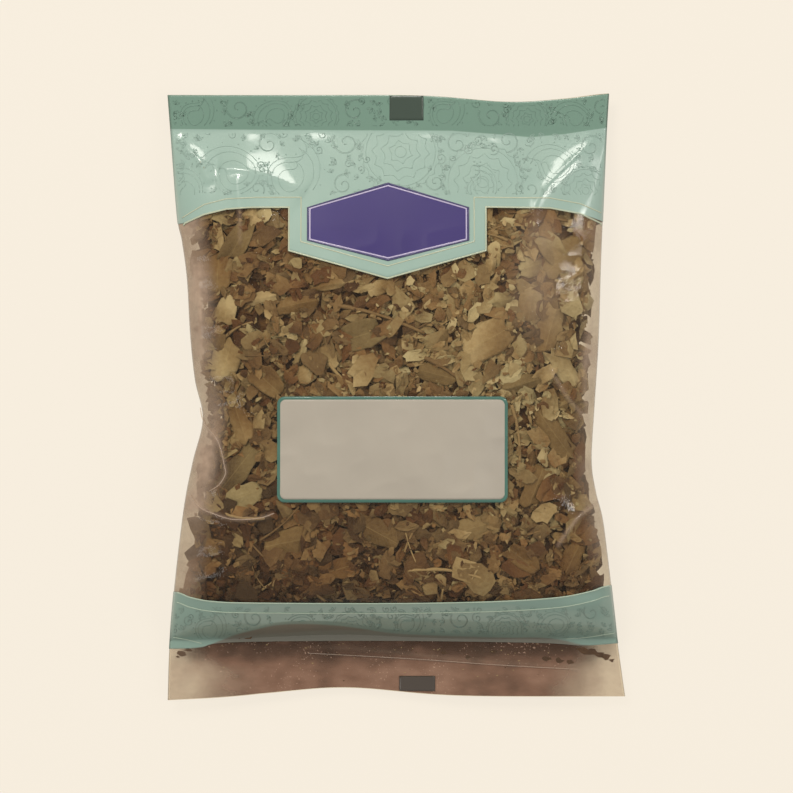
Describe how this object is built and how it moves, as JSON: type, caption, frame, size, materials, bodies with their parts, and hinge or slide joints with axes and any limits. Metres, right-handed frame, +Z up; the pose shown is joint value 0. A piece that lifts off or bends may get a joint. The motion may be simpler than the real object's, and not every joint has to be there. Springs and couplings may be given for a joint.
{
  "type": "bag of dried curry leaves",
  "caption": "Sealed clear pillow bag of dried, broken curry leaves and stalks, with a printed header and footer and a blank front label, lying on its back.",
  "frame": {"origin": "on the surface the bag lies on, under the middle of its outline", "axes": "+Z up through the front of the bag, +Y towards the top seal, +X towards the bag's right side as its front is read"},
  "size_m": [0.165, 0.219, 0.0357],
  "materials": {
    "clear_film": "clear glossy film, a little hazy",
    "teal_print": "pale green print with a faint paisley, under gloss",
    "violet_print": "violet print under gloss",
    "dark_print": "dark registration print",
    "label_face": "pale satin label with a green edge",
    "broken_leaf": "dull dry leaf",
    "dry_leaf": "dull dry leaf, khaki",
    "dry_stalk": "dull dry stalk"
  },
  "bodies": {
    "root": {"film_pouch": "clear_film", "header_print": "teal_print", "footer_print": "teal_print", "plaque_print": "violet_print", "top_eye_mark": "dark_print", "bottom_eye_mark": "dark_print", "front_label": "label_face", "leaf_fill": "broken_leaf", "leaf_01": "dry_leaf", "leaf_02": "dry_leaf", "leaf_03": "dry_leaf", "leaf_04": "dry_leaf", "leaf_05": "dry_leaf", "leaf_06": "dry_leaf", "leaf_07": "dry_leaf", "leaf_08": "dry_leaf", "leaf_09": "dry_leaf", "leaf_10": "dry_leaf", "leaf_11": "dry_leaf", "leaf_12": "dry_leaf", "leaf_13": "dry_leaf", "leaf_14": "dry_leaf", "stalk_01": "dry_stalk", "stalk_02": "dry_stalk", "stalk_03": "dry_stalk", "stalk_04": "dry_stalk", "stalk_05": "dry_stalk", "stalk_06": "dry_stalk"}
  },
  "joints": []
}
